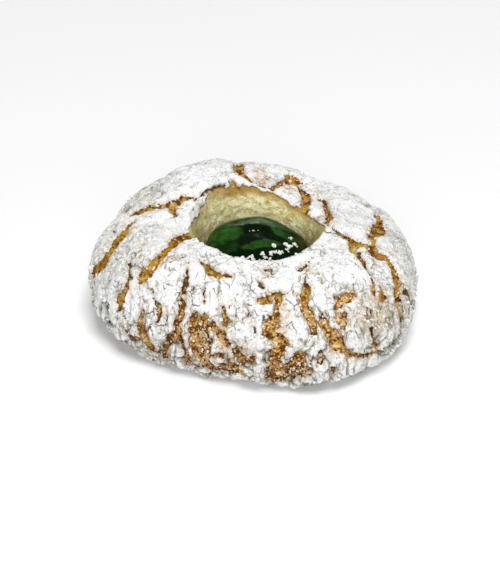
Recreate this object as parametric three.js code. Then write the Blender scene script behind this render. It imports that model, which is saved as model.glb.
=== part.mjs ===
// A soft almond cookie, as Sicilian bakers make it: a ball of almond paste rolled in icing sugar,
// pressed with a thumb, and baked with half a candied cherry in the hollow.
//
// Units are millimetres, with +Z up. The cookie rests on Z = 0 and its bounding box is centred on the
// Z axis. Its front is -Y. Azimuths are degrees round the Z axis, counted from +X towards +Y.
import * as THREE from "three";

// Driving dimensions. A wavy size varies round the cookie: each wave is [crests, height, azimuth of a crest].
const OUTLINE = { mean: 27.75, waves: [[1, 2.2, 54], [2, 1.4, -19], [3, 1, -50], [4, 0.25, 34]] };
const RIM_HEIGHT = { mean: 19.3, waves: [[1, 1.25, 209], [2, 1.05, -51], [3, 0.8, -10]] };
const RIM_RADIUS = { mean: 12.75, waves: [[1, 0.2, 36], [2, 0.65, 82]] };
const BODY_CENTRE = new THREE.Vector2(0, 0);
const RIM_CENTRE = new THREE.Vector2(1.2, 0.2);
const CHERRY_CENTRE = new THREE.Vector2(1.2, 1.5);
const BELLY_HEIGHT = 7.6; // where the side bulges out furthest
const FOOT_SHARE = 0.79; // the flat underside's radius, as a share of the outline's
const BELLY_FALL = 0.7; // the belly's place between the rim (0) and the foot (1)
const WALL_FALL = -0.33; // the seat's place on the same scale, down inside the hollow
const SIDE_LENGTH = 30; // along the side, from the rim to the foot

// Exponents that shape a section: under 1 fills it out, and over 1 hollows it.
const RIM_FULLNESS = 0.64;
const SIDE_FULLNESS = 1.06;
const WALL_FULLNESS = 0.75;

const CHERRY = { radius: 9.3, footRadius: 7, middleHeight: 11.2, top: 4.8, below: 4, sunkRight: 2.2 };
const CHERRY_LUMPS = { mean: 1, waves: [[2, 0.025, 5], [3, 0.015, 75], [5, 0.006, 10]] };
const SEAT_GAP = 0.35; // between the cherry and the paste that holds it

// The main fissures, each a route of [azimuth, fall] points down the side.
const FISSURES = [
  [[92, 0.02], [100, 0.05], [104, 0.09], [108, 0.16], [106, 0.4], [110, 0.7]],
  [[80, 0.01], [74, 0.06], [68, 0.11], [64, 0.16], [66, 0.4]],
  [[67, 0.11], [60, 0.06], [53, 0]],
  [[150, 0.04], [158, 0.09], [166, 0.18], [173, 0.26]],
  [[178, 0.2], [181, 0.3], [184, 0.38], [188, 0.47], [189, 0.66]],
  [[200, 0], [207, 0.08], [212, 0.18], [215, 0.3]],
  [[206, 0.3], [209, 0.47], [207, 0.62]],
  [[222, 0.5], [220, 0.56], [221, 0.64], [227, 0.82]],
  [[232, 0.12], [236, 0.4], [238, 0.47], [236, 0.63], [232, 0.8]],
  [[243, 0.45], [242, 0.55], [245, 0.73], [252, 0.84]],
  [[279, 0.2], [281, 0.26], [277, 0.46], [281, 0.58], [278, 0.85]],
  [[297, 0.06], [294, 0.2], [291, 0.28], [295, 0.42], [294, 0.5]],
  [[299, 0.36], [301, 0.54], [306, 0.7], [312, 0.74], [326, 0.72]],
  [[340, 0.07], [331, 0.15], [325, 0.34]],
  [[346, 0.11], [341, 0.24], [337, 0.4], [332, 0.52]],
  [[347, 0.15], [356, 0.16], [12, 0.18]],
];
const FISSURE_HALF_WIDTH = 1.4;
const FISSURE_DEPTH = 0.8;

const COOKIE_COLUMNS = 144;
const CHERRY_COLUMNS = 40;

// Size of a wavy dimension at an azimuth.
function wavy(size, azimuth) {
  const swells = size.waves.map(([crests, height, crest]) =>
    height * Math.cos(crests * THREE.MathUtils.degToRad(azimuth - crest)));
  return swells.reduce((total, swell) => total + swell, size.mean);
}

// A quarter turn's angle at a share of the way round it.
const quarter = (share) => (share * Math.PI) / 2;

// The cookie's section at an azimuth, zone by zone, from the hollow's middle to the underside's middle.
// A zone turns a share from 0 to 1 into a radius, a height, the centre that the radius is measured from
// and, where fissures can run, a fall.
const seatRadius = CHERRY.radius + SEAT_GAP;
const seatFloor = CHERRY.middleHeight - CHERRY.below - SEAT_GAP;
const rise = (azimuth, base) => wavy(RIM_HEIGHT, azimuth) - base;

const ZONES = {
  floor: {
    rings: 3,
    section: (share) => ({ radius: CHERRY.footRadius * share, height: seatFloor, centre: CHERRY_CENTRE }),
  },
  seat: {
    rings: 4,
    section: (share) => ({
      radius: CHERRY.footRadius + (seatRadius - CHERRY.footRadius) * Math.sin(quarter(share)),
      height: CHERRY.middleHeight - (CHERRY.middleHeight - seatFloor) * Math.cos(quarter(share)),
      centre: CHERRY_CENTRE,
    }),
  },
  wall: {
    rings: 6,
    section: (share, azimuth) => {
      const out = (1 - Math.cos(quarter(share))) ** WALL_FULLNESS;
      return {
        radius: THREE.MathUtils.lerp(seatRadius, wavy(RIM_RADIUS, azimuth), out),
        height: CHERRY.middleHeight + rise(azimuth, CHERRY.middleHeight) * Math.sin(quarter(share)),
        centre: CHERRY_CENTRE.clone().lerp(RIM_CENTRE, share),
        fall: WALL_FALL * (1 - share),
      };
    },
  },
  dome: {
    rings: 10,
    section: (share, azimuth) => {
      const out = Math.sin(quarter(share)) ** RIM_FULLNESS;
      const up = Math.max(Math.cos(quarter(share)), 0) ** SIDE_FULLNESS;
      return {
        radius: THREE.MathUtils.lerp(wavy(RIM_RADIUS, azimuth), wavy(OUTLINE, azimuth), out),
        height: BELLY_HEIGHT + rise(azimuth, BELLY_HEIGHT) * up,
        centre: RIM_CENTRE.clone().lerp(BODY_CENTRE, THREE.MathUtils.smoothstep(share, 0, 1)),
        fall: BELLY_FALL * share,
      };
    },
  },
  belly: {
    rings: 4,
    section: (share, azimuth) => {
      const inset = (1 - FOOT_SHARE) * (1 - Math.cos(quarter(share)));
      return {
        radius: wavy(OUTLINE, azimuth) * (1 - inset),
        height: BELLY_HEIGHT * (1 - Math.sin(quarter(share))),
        centre: BODY_CENTRE,
        fall: THREE.MathUtils.lerp(BELLY_FALL, 1, share),
      };
    },
  },
  underside: {
    rings: 2,
    section: (share, azimuth) => ({
      radius: wavy(OUTLINE, azimuth) * FOOT_SHARE * (1 - share),
      height: 0,
      centre: BODY_CENTRE,
    }),
  },
};

// Distance along the side from a place to the nearest point of a route.
function distanceToRoute(route, azimuth, fall) {
  const millimetresPerDegree = THREE.MathUtils.degToRad(OUTLINE.mean);
  const offsets = route.map(([turn, down]) => {
    const degrees = THREE.MathUtils.euclideanModulo(turn - azimuth + 180, 360) - 180;
    return new THREE.Vector3(degrees * millimetresPerDegree, (down - fall) * SIDE_LENGTH, 0);
  });
  const here = new THREE.Vector3(0, 0, 0);
  const distances = offsets.slice(1).map((end, i) => {
    const nearest = new THREE.Line3(offsets[i], end).closestPointToPoint(here, true, new THREE.Vector3());
    return nearest.length();
  });
  return Math.min(...distances);
}

// How deep the fissures cut at a place, fading out towards the foot.
function fissureDepth(azimuth, fall) {
  const distance = Math.min(...FISSURES.map((route) => distanceToRoute(route, azimuth, fall)));
  const fade = THREE.MathUtils.smoothstep(1 - fall, 0, 0.15);
  return FISSURE_DEPTH * fade * Math.exp(-((distance / FISSURE_HALF_WIDTH) ** 2));
}

function onRing(azimuth, radius, height, centre) {
  const turn = THREE.MathUtils.degToRad(azimuth);
  return new THREE.Vector3(centre.x + radius * Math.cos(turn), centre.y + radius * Math.sin(turn), height);
}

const azimuths = (columns) => Array.from({ length: columns }, (_, column) => (360 * column) / columns);

// A closed surface through rings of points that share their azimuths, with a point at each end.
function closedSkin(first, rings, last) {
  const columns = rings[0].length;
  const points = [first, ...rings.flat(), last];
  const at = (ring, column) => 1 + ring * columns + (column % columns);
  const faces = [];
  for (let column = 0; column < columns; column += 1) {
    faces.push(0, at(0, column), at(0, column + 1));
    for (let ring = 1; ring < rings.length; ring += 1) {
      faces.push(at(ring - 1, column), at(ring, column), at(ring, column + 1));
      faces.push(at(ring - 1, column), at(ring, column + 1), at(ring - 1, column + 1));
    }
    faces.push(at(rings.length - 1, column + 1), at(rings.length - 1, column), points.length - 1);
  }
  const geometry = new THREE.BufferGeometry().setFromPoints(points);
  geometry.setIndex(faces);
  geometry.computeVertexNormals();
  return geometry;
}

// The body of almond paste, with its hollow and fissures. A fissure cuts down at the rim, and inwards
// lower on the side.
function cookieGeometry() {
  const sections = Object.values(ZONES).flatMap(({ rings, section }) =>
    Array.from({ length: rings }, (_, ring) => (azimuth) => section(ring / rings, azimuth)));
  const rings = sections.slice(1).map((section) => azimuths(COOKIE_COLUMNS).map((azimuth) => {
    const { radius, height, centre, fall } = section(azimuth);
    if (fall === undefined) return onRing(azimuth, radius, height, centre);
    const depth = fissureDepth(azimuth, fall);
    const sideways = THREE.MathUtils.clamp(fall / BELLY_FALL, 0, 1);
    return onRing(azimuth, radius - depth * sideways, height - depth * (1 - sideways), centre);
  }));
  return closedSkin(onRing(0, 0, seatFloor, CHERRY_CENTRE), rings, onRing(0, 0, 0, BODY_CENTRE));
}

// Half a candied cherry, lying on its cut face: a flat top, sunk on the right, over a rounded edge.
function cherryGeometry() {
  const shares = (count) => Array.from({ length: count }, (_, i) => (i + 1) / count);
  const profile = [
    ...shares(10).map((share) => {
      const inFromEdge = 1 - Math.sin(quarter(share)) ** 8;
      return {
        radius: CHERRY.radius * Math.sin(quarter(share)),
        height: CHERRY.middleHeight + CHERRY.top * Math.sqrt(inFromEdge),
        sunk: CHERRY.sunkRight * inFromEdge,
      };
    }),
    ...shares(4).map((share) => ({
      radius: THREE.MathUtils.lerp(CHERRY.footRadius, CHERRY.radius, Math.cos(quarter(share))),
      height: CHERRY.middleHeight - CHERRY.below * Math.sin(quarter(share)),
      sunk: 0,
    })),
    { radius: CHERRY.footRadius / 2, height: CHERRY.middleHeight - CHERRY.below, sunk: 0 },
  ];
  const widest = Math.max(...azimuths(CHERRY_COLUMNS).map((azimuth) => wavy(CHERRY_LUMPS, azimuth)));
  const rings = profile.map(({ radius, height, sunk }) => azimuths(CHERRY_COLUMNS).map((azimuth) => {
    const point = onRing(azimuth, (radius * wavy(CHERRY_LUMPS, azimuth)) / widest, height, CHERRY_CENTRE);
    point.z -= sunk * THREE.MathUtils.smoothstep(point.x - CHERRY_CENTRE.x, 0, CHERRY.radius);
    return point;
  }));
  const top = onRing(0, 0, CHERRY.middleHeight + CHERRY.top, CHERRY_CENTRE);
  const bottom = onRing(0, 0, CHERRY.middleHeight - CHERRY.below, CHERRY_CENTRE);
  return closedSkin(top, rings, bottom);
}

const sugaredPaste = new THREE.MeshStandardMaterial({ color: 0xece6dc, roughness: 0.95, metalness: 0 });
const candiedFruit = new THREE.MeshStandardMaterial({ color: 0x12401c, roughness: 0.15, metalness: 0 });

const cookie = new THREE.Mesh(cookieGeometry(), sugaredPaste);
cookie.name = "cookie";

const cherry = new THREE.Mesh(cherryGeometry(), candiedFruit);
cherry.name = "candied_cherry";

// Both pieces shift together, so that the cookie's bounding box is centred on the Z axis.
cookie.geometry.computeBoundingBox();
const boxCentre = cookie.geometry.boundingBox.getCenter(new THREE.Vector3());
const part = new THREE.Group();
part.add(cookie, cherry);
part.children.forEach((piece) => piece.position.set(-boxCentre.x, -boxCentre.y, 0));

export default part;
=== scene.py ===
"""Looks of a soft almond cookie: torn almond paste, a cracked crust of icing sugar and a candied cherry.

Shapes are worked out in millimetres in the CAD part's own layout and set in metres in the frame. Azimuths
are degrees round the Z axis from +X towards +Y. Fall is a place on the side: 0 at the rim, 1 at the foot,
and below 0 down inside the hollow. The tables give it in percent.
"""
import itertools
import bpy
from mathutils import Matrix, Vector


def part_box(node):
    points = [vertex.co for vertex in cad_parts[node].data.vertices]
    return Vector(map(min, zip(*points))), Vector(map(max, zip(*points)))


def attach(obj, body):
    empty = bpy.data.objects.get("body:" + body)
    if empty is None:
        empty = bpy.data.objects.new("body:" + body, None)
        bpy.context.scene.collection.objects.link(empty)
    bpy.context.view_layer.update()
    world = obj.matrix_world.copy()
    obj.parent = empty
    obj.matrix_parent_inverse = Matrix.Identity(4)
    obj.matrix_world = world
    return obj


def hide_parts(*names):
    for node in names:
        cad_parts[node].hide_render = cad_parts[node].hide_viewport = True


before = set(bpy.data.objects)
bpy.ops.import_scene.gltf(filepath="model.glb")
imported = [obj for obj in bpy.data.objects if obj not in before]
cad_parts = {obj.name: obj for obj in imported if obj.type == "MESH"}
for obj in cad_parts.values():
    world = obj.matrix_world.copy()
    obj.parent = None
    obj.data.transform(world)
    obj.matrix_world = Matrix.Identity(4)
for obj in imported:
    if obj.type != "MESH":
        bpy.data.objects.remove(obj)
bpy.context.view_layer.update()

from types import SimpleNamespace

import bpy
import numpy as np
from mathutils import Vector, kdtree

MM = 0.001

# -------- the cookie's form, as the CAD part has it
# A wavy size varies round the cookie: a mean, and waves of (crests, height, azimuth of a crest).
OUTLINE = (27.75, [(1, 2.2, 54), (2, 1.4, -19), (3, 1.0, -50), (4, 0.25, 34)])
RIM_HEIGHT = (19.3, [(1, 1.25, 209), (2, 1.05, -51), (3, 0.8, -10)])
RIM_RADIUS = (12.75, [(1, 0.2, 36), (2, 0.65, 82)])
BODY_CENTRE = np.array([0.0, 0.0])
RIM_CENTRE = np.array([1.2, 0.2])
CHERRY_CENTRE = np.array([1.2, 1.5])
# The cherry is widest at the height of its middle, and its cut face lies that far below.
CHERRY_RADIUS, CHERRY_FOOT_RADIUS, CHERRY_MIDDLE, CHERRY_BELOW = 9.3, 7.0, 11.2, 4.0
SEAT_GAP = 0.35
BELLY_HEIGHT, FOOT_SHARE = 7.6, 0.79
BELLY_FALL, WALL_FALL = 0.7, -0.33
RIM_FULLNESS, SIDE_FULLNESS, WALL_FULLNESS = 0.64, 1.06, 0.75
SIDE_LENGTH = 30.0  # along the side, from the rim to the foot

# Stations number the zones of a section, from the hollow's middle to the underside's middle.
FLOOR, SEAT, WALL, DOME, BELLY, UNDERSIDE, END = range(7)


def wavy(size, azimuth):
    """A wavy size at an azimuth."""
    mean, waves = size
    swings = (height * np.cos(np.radians(crests * (azimuth - crest))) for crests, height, crest in waves)
    return mean + sum(swings)


def smoothstep(value, low=0.0, high=1.0):
    share = np.clip((value - low) / (high - low), 0, 1)
    return share * share * (3 - 2 * share)


def lerp(low, high, share):
    return low + (high - low) * share


def station_of(fall):
    """The station at a fall on the wall, dome or belly."""
    return np.select(
        [fall < 0, fall < BELLY_FALL],
        [DOME - fall / WALL_FALL, DOME + fall / BELLY_FALL],
        BELLY + (fall - BELLY_FALL) / (1 - BELLY_FALL),
    )


def fall_of(station):
    """The fall at a station, carried on past the seat and the foot."""
    zones = [FLOOR, SEAT, WALL, DOME, BELLY, UNDERSIDE, END]
    return np.interp(station, zones, [-0.6, -0.45, WALL_FALL, 0, BELLY_FALL, 1, 2])


def skin(station, azimuth):
    """Points of the CAD part's surface, in mm, in an array that ends in x, y, z."""
    station, azimuth = np.broadcast_arrays(np.asarray(station, float), np.asarray(azimuth, float))
    zone = np.clip(np.floor(station), FLOOR, UNDERSIDE).astype(int)
    share = station - zone
    sine = np.sin(share * np.pi / 2)
    cosine = np.maximum(np.cos(share * np.pi / 2), 0)
    outline, rim_height, rim_radius = (wavy(size, azimuth) for size in (OUTLINE, RIM_HEIGHT, RIM_RADIUS))
    seat_radius = CHERRY_RADIUS + SEAT_GAP
    seat_floor = CHERRY_MIDDLE - CHERRY_BELOW - SEAT_GAP
    none, whole = 0 * share, 1 + 0 * share
    radius = np.choose(zone, [
        CHERRY_FOOT_RADIUS * share,
        lerp(CHERRY_FOOT_RADIUS, seat_radius, sine),
        lerp(seat_radius, rim_radius, (1 - cosine) ** WALL_FULLNESS),
        lerp(rim_radius, outline, sine ** RIM_FULLNESS),
        outline * (1 - (1 - FOOT_SHARE) * (1 - cosine)),
        outline * FOOT_SHARE * (1 - share),
    ])
    height = np.choose(zone, [
        seat_floor + none,
        lerp(CHERRY_MIDDLE, seat_floor, cosine),
        lerp(CHERRY_MIDDLE, rim_height, sine),
        lerp(BELLY_HEIGHT, rim_height, cosine ** SIDE_FULLNESS),
        BELLY_HEIGHT * (1 - sine),
        none,
    ])
    to_rim = np.choose(zone, [none, none, share, whole, whole, whole])
    to_body = np.choose(zone, [none, none, none, smoothstep(share), whole, whole])
    centre = lerp(CHERRY_CENTRE, RIM_CENTRE, to_rim[..., None])
    centre = lerp(centre, BODY_CENTRE, to_body[..., None])
    turn = np.radians(azimuth)
    x = centre[..., 0] + radius * np.cos(turn)
    y = centre[..., 1] + radius * np.sin(turn)
    return np.stack([x, y, height], -1)


# -------- noise, worked out for whole arrays at once from these tables of chances
DICE = np.random.default_rng(11)
SHUFFLE = np.tile(DICE.permutation(256), 2)
SLOPES = DICE.normal(size=(256, 3))
SLOPES /= np.linalg.norm(SLOPES, axis=1)[:, None]
SPOTS = DICE.random((256, 3))
CHANCES = DICE.random(256)


def cell_number(cell):
    """A number from 0 to 255 for each cell, the same every time."""
    x, y, z = np.moveaxis(cell % 256, -1, 0)
    return SHUFFLE[SHUFFLE[SHUFFLE[x] + y] + z]


def smooth_noise(points):
    """Noise from about -1 to 1, with features about one unit apart."""
    cell = np.floor(points).astype(int)
    local = points - cell
    fade = local ** 3 * (local * (local * 6 - 15) + 10)
    total = np.zeros(points.shape[:-1])
    for corner in itertools.product((0, 1), repeat=3):
        corner = np.array(corner)
        weight = np.prod(np.where(corner, fade, 1 - fade), axis=-1)
        total += weight * np.sum(SLOPES[cell_number(cell + corner)] * (local - corner), axis=-1)
    return total * 1.6


def rough(points, size, octaves=3, seed=0):
    """Noise with features about size apart, and finer ones on them."""
    layers = range(octaves)
    return sum(smooth_noise(points * 2 ** i / size + 19.7 * seed + 7.3 * i) / 2 ** i for i in layers)


def warp(points, size, amount, seed):
    """Points shifted to and fro by about that many mm."""
    return points + amount * np.stack([rough(points, size, 2, seed + k) for k in range(3)], -1)


def cells(places, size, stretch=1.0, seed=0):
    """Irregular cells about size mm across, and stretched up and down that many times.

    Gives each place's distance in mm from its cell's edge, and the cell's own height and tilt,
    about -0.5 to 0.5.
    """
    scale = np.array([1, 1, 1 / stretch]) / size
    points = places * scale + 31.7 * seed
    cell = np.floor(points).astype(int)
    far = 9.0  # further off than any cell that is looked at
    first, second = (SimpleNamespace(away=np.full(points.shape, far), reach=far) for _ in range(2))
    height = tilt = np.zeros(points.shape[:-1])
    for offset in itertools.product((-1, 0, 1), repeat=3):
        other = cell + np.array(offset)
        number = cell_number(other)
        away = points - other - SPOTS[number]
        reach = np.linalg.norm(away, axis=-1)
        nearer, next_nearer = reach < first.reach, reach < second.reach
        second.away = np.where(next_nearer[..., None], away, second.away)
        second.away = np.where(nearer[..., None], first.away, second.away)
        second.reach = np.where(nearer, first.reach, np.where(next_nearer, reach, second.reach))
        first.away = np.where(nearer[..., None], away, first.away)
        first.reach = np.where(nearer, reach, first.reach)
        height = np.where(nearer, CHANCES[number] - 0.5, height)
        tilt = np.where(nearer, 0.6 * np.sum(away * SLOPES[number], axis=-1), tilt)
    slope = np.linalg.norm((first.away - second.away) * scale, axis=-1)
    edge = (second.reach ** 2 - first.reach ** 2) / (2 * slope)
    return SimpleNamespace(edge=edge, height=height, tilt=tilt)


# -------- laying out points on the form
ROWS, COLUMNS = 154, 640  # of each of the cookie's two skins
FRONT, FRONT_CROWDING = 270, 0.3  # the azimuth where columns are closest, and by how much


def spread_azimuths():
    """The columns' azimuths, which lie closer together at the front."""
    even = np.arange(COLUMNS) * 360 / COLUMNS
    return even + np.degrees(FRONT_CROWDING * np.sin(np.radians(FRONT - even)))


def spread_stations(spacing):
    """The rows' stations, spaced as in a list of (station, mm) but scaled to make up their count."""
    dense = np.linspace(FLOOR, END, 6001)
    around = np.arange(0, 360, 30.0)
    steps = np.linalg.norm(np.diff(skin(dense[:, None], around[None]), axis=0), axis=-1).mean(1)
    rows = np.concatenate([[0], np.cumsum(steps / np.interp(dense[:-1], *zip(*spacing)))])
    return np.interp(np.linspace(0, rows[-1], ROWS), rows, dense)[1:-1]


widest = skin(BELLY, np.arange(3600) / 10)
middle = (widest.max(0) + widest.min(0)) / 2
cookie_low, cookie_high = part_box("cookie")
to_frame = np.array([*((cookie_low + cookie_high) / 2).xy, 0]) - np.array([middle[0], middle[1], 0]) * MM

# -------- where the sugar crust is torn
# Tears are routes of (azimuth, fall in percent, half width in mm).
TEARS = [
    # over the back of the rim
    [(97, 30, 0.6), (98, 18, 0.9), (100, 7.5, 1.0), (100, 3.5, 0.9), (98, 1.5, 0.8), (93, 0, 0.4),
     (85, -4, 0.35), (81, -4, 0.35), (78, 0, 0.5)],
    [(108, 0, 0.45), (109, -6, 0.55), (109, -11, 0.6), (108, -15, 0.6)],
    [(117, -10, 0.4), (126, -10, 0.4), (134, -9, 0.35), (144, -4, 0.4), (150, 1, 0.4), (151, 3.5, 0.6)],
    [(78, 0, 0.4), (75, 2, 0.45), (73, 5, 0.7), (70, 7.5, 1.1), (67, 9, 0.5), (64, 12, 0.4)],
    [(70, 6.5, 0.6), (64, 5.5, 0.5), (59, 4.5, 0.7), (55, 2, 0.9), (51, 0, 0.7), (46, -7, 0.7),
     (44, -11, 0.6)],
    [(50, 6, 0.4), (42, 3.5, 0.5), (34, 2, 0.6), (18, 0, 0.6), (1, 0, 0.3), (-10, 1, 0.4), (-18, 5, 0.6)],
    # left side
    [(150, 1, 0.3), (154, 3.5, 0.9), (159, 5.5, 0.9), (162, 9, 0.8), (166, 17, 1.1), (171, 29, 0.3)],
    [(159, 5, 0.6), (165, 3.5, 0.5), (172, 2, 0.3)],
    [(175, 19, 0.4), (178, 23, 1.0), (182, 28, 1.2), (186, 37, 1.3), (188, 46, 1.4), (187, 63, 0.7)],
    [(199, -2, 1.2), (203, 2, 1.3), (207, 6, 1.0), (210, 11, 1.05), (212, 18, 1.3), (214, 33, 1.1)],
    [(202, 31, 0.35), (208, 38, 0.55), (209, 44, 0.7), (209, 50, 0.75), (208, 55, 0.95), (209, 60, 0.6)],
    [(197, 17, 0.12), (204, 24, 0.12), (206, 31, 0.15)],
    [(155, 24, 0.4), (152, 21, 0.35)],
    [(158, 15, 0.25), (153, 12, 0.35), (148, 11, 0.25)],
    [(172, 34, 0.3), (178, 32, 0.3)],
    [(172, -2.5, 0.12), (160, -7, 0.15), (152, -10, 0.15)],
    [(195, 81, 0.25), (203, 76, 0.3), (210, 73, 0.25)],
    [(186, 71, 0.2), (194, 72, 0.2)],
    [(208, 65, 0.2), (211, 66, 0.2)],
    [(213, 72, 0.5), (214, 75, 0.5), (215, 79, 0.35)],
    # lower left
    [(212, 45, 0.15), (215, 47, 0.15)],
    [(218, 36, 0.15), (222, 39, 0.18), (222, 33, 0.1)],
    [(220, 47, 0.15), (223, 48, 0.15)],
    [(221, 54, 0.45), (221, 64, 0.5), (222, 70, 0.7), (223, 75, 0.8), (226, 79, 0.6), (229, 81, 0.3)],
    [(225, 45, 0.25), (227, 49, 0.5), (228, 53, 0.45), (228, 58, 0.25)],
    [(231, 47, 0.12), (232, 51, 0.18), (233, 55, 0.2), (232, 61, 0.15), (233, 65, 0.12)],
    [(220, 14.5, 0.3), (224, 11, 0.25), (229, 10, 0.12), (232, 13, 0.15), (233, 18, 0.25),
     (234, 24, 0.35), (236, 34, 0.45)],
    [(236, 34, 0.4), (237, 42, 0.42), (238, 51, 0.5), (237, 56, 0.45), (238, 62, 0.6), (235, 68, 0.65)],
    [(235, 68, 0.65), (232, 75, 0.45), (231, 82, 0.5)],
    [(238, 63, 0.5), (241, 70, 0.25), (242, 76, 0.45), (242, 82, 0.6)],
    [(228, 71, 0.2), (230, 71, 0.2)],
    [(221, 86, 0.25), (226, 85, 0.4), (231, 87, 0.6)],
    [(240, 27, 0.15), (240, 31, 0.15)],
    [(245, 29, 0.2), (247, 34, 0.2), (247, 38, 0.2)],
    [(236, 7.5, 0.35), (240, 8.5, 0.55), (244, 11, 0.6), (248, 13.5, 0.65), (253, 11, 0.6),
     (256, 12, 0.3)],
    # front left
    [(244, 46, 0.5), (245, 49, 0.6), (245, 56, 0.8), (246, 65, 0.95), (245, 71, 0.9), (250, 79, 1.2)],
    [(250, 79, 1.2), (256, 83, 0.9)],
    [(249, 47, 0.5), (250, 53, 0.6), (253, 52, 0.7), (256, 55, 0.8), (258, 60, 0.5), (260, 63, 0.5)],
    [(255, 35, 0.25), (257, 41, 0.45), (259, 45, 0.5), (258, 48, 0.4)],
    [(254, 73, 0.4), (257, 72, 0.5), (261, 74, 0.35)],
    [(262, 76, 0.5), (265, 81, 0.6), (268, 84, 0.6)],
    [(265, 64, 0.4), (264, 69, 0.6), (267, 73, 0.8), (270, 73, 0.7), (271, 69, 0.35)],
    [(254, 30, 0.15), (255, 33, 0.12)],
    [(256, 34, 0.12), (259, 31, 0.18), (259, 37, 0.15)],
    [(260, 40, 0.12), (263, 42, 0.15), (262, 46, 0.12)],
    [(266, 32, 0.12), (268, 37, 0.18), (270, 41, 0.2), (271, 50, 0.25)],
    # front middle
    [(275, 1.5, 0.35), (278, 1, 0.45), (279, 5, 0.2)],
    [(272, 10, 0.3), (272, 14, 0.4), (274, 16.5, 0.3)],
    [(272, 27, 0.6), (275, 26, 0.7), (278, 20, 0.4), (281, 19, 0.5), (280, 25, 0.5), (279, 35, 0.4)],
    [(279, 35, 0.6), (278, 42, 0.9), (277, 48, 1.1), (279, 52, 1.0), (282, 56, 0.9), (281, 59, 0.8)],
    [(281, 59, 0.8), (279, 65, 0.95), (279, 74, 1.1), (278, 84, 0.9)],
    [(281, 20, 0.4), (285, 20, 0.22), (288, 22, 0.22), (290, 26, 0.3)],
    [(306, 2, 0.2), (302, 2.5, 0.4), (297, 4, 0.4)],
    [(303, 10, 0.1), (301, 8.5, 0.1), (297, 8, 0.15), (294, 14, 0.35), (293, 20, 0.7), (291, 25, 0.8)],
    [(291, 25, 0.8), (291, 29, 0.8), (292, 35, 0.7), (293, 42, 0.55), (293, 49, 0.45)],
    [(293, 30, 0.12), (296, 36, 0.12)],
    [(288, 53, 0.12), (289, 58, 0.15)],
    # front right
    [(297, 37, 0.25), (297, 43, 0.65), (299, 49, 0.8), (301, 56, 1.0), (302, 61, 0.6), (308, 72, 0.25)],
    [(306, 70, 0.5), (312, 74, 0.45), (317, 76, 0.5), (323, 77, 0.55), (328, 76, 0.55), (332, 72, 0.5)],
    [(332, 72, 0.5), (334, 66, 0.45), (335, 60, 0.4), (334, 54, 0.4)],
    [(315, 57, 0.35), (316, 64, 0.3), (316, 70, 0.45), (317, 75, 0.45)],
    [(305, 27, 0.3), (305, 31, 0.55), (303, 35, 0.4)],
    [(308, 30, 0.35), (310, 29, 0.6), (312, 30, 0.5)],
    [(306, 40, 0.45), (306, 43, 0.5), (304, 49, 0.35)],
    [(310, 35, 0.15), (310, 39, 0.15)],
    [(316, 43, 0.15), (316, 47, 0.15)],
    [(321, 45, 0.15), (321, 50, 0.15)],
    [(303, 9, 0.1), (303, 13, 0.15), (301, 18, 0.1), (302, 23, 0.15)],
    [(322, 13, 0.2), (322, 16, 0.2)],
    # along the foot
    [(288, 62, 0.4), (288, 69, 0.9), (285, 73, 0.7), (281, 76, 0.6)],
    [(296, 63, 0.3), (295, 67, 0.45), (295, 72, 0.4)],
    [(291, 73, 0.35), (292, 79, 0.3)],
    [(286, 75, 0.35), (287, 82, 0.35)],
    [(300, 75, 0.3), (301, 79, 0.4)],
    [(299, 92, 0.25), (300, 84, 0.3)],
    [(312, 74, 0.12), (312, 79, 0.15)],
    # right side
    [(342, 5, 0.6), (339, 7.5, 0.75), (333, 9.5, 0.75), (329, 13, 0.65), (326, 20, 0.3), (325, 26, 0.3)],
    [(325, 26, 0.3), (324, 31, 0.45), (322, 36, 0.3)],
    [(326, 31, 0.2), (326, 38, 0.5), (324, 42, 0.45)],
    [(342, 6, 0.8), (341, 10, 0.7), (340, 15, 1.0), (338, 20, 1.2), (339, 28, 1.1), (337, 39, 1.1)],
    [(337, 39, 1.1), (335, 45, 1.2), (332, 50, 1.1), (331, 58, 0.7), (332, 68, 0.4), (334, 78, 0.3)],
    [(336, 50, 0.3), (340, 55, 0.7), (342, 63, 0.9), (344, 70, 0.5)],
    [(340, 18, 0.5), (348, 15, 0.6), (354, 13, 0.9), (361, 17, 1.5), (368, 20, 1.2), (375, 22, 0.6)],
    [(375, 22, 0.6), (380, 25, 1.0), (384, 28, 0.5)],
    [(347, 0, 0.35), (345, 2, 0.3), (342, 4.5, 0.4)],
    [(344, 25, 0.2), (346, 29, 0.2)],
    [(344, 35, 0.2), (344, 43, 0.25)],
]


def back_tears():
    """Tears down the back, which wander and fork as the others do."""
    dice = np.random.default_rng(23)
    routes = []
    for start in np.arange(18, 172, 11.0):
        at, down_to, width = start + dice.uniform(-4, 4), dice.uniform(22, 55), dice.uniform(0.2, 0.6)
        route = []
        for _ in range(dice.integers(3, 7)):
            route.append((at, down_to, width * dice.uniform(0.6, 1.2)))
            at += dice.uniform(-5, 5)
            down_to += dice.uniform(6, 12)
        routes.append([point for point in route if point[1] < 97])
    return routes


def along(route, step=0.2):
    """Places every step mm along a route: an array of points, and one of half widths."""
    turns, percents, widths = (np.array(values, float) for values in zip(*route))
    falls = percents / 100
    corners = skin(station_of(falls), turns)
    lengths = np.concatenate([[0], np.cumsum(np.linalg.norm(np.diff(corners, axis=0), axis=1))])
    at = np.linspace(0, lengths[-1], max(2, int(lengths[-1] / step)))
    points = skin(station_of(np.interp(at, lengths, falls)), np.interp(at, lengths, turns))
    return points, np.interp(at, lengths, widths)


def tree_of(points):
    """A tree that finds the nearest of some points."""
    tree = kdtree.KDTree(len(points))
    for i, point in enumerate(points):
        tree.insert(point, i)
    tree.balance()
    return tree


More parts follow.
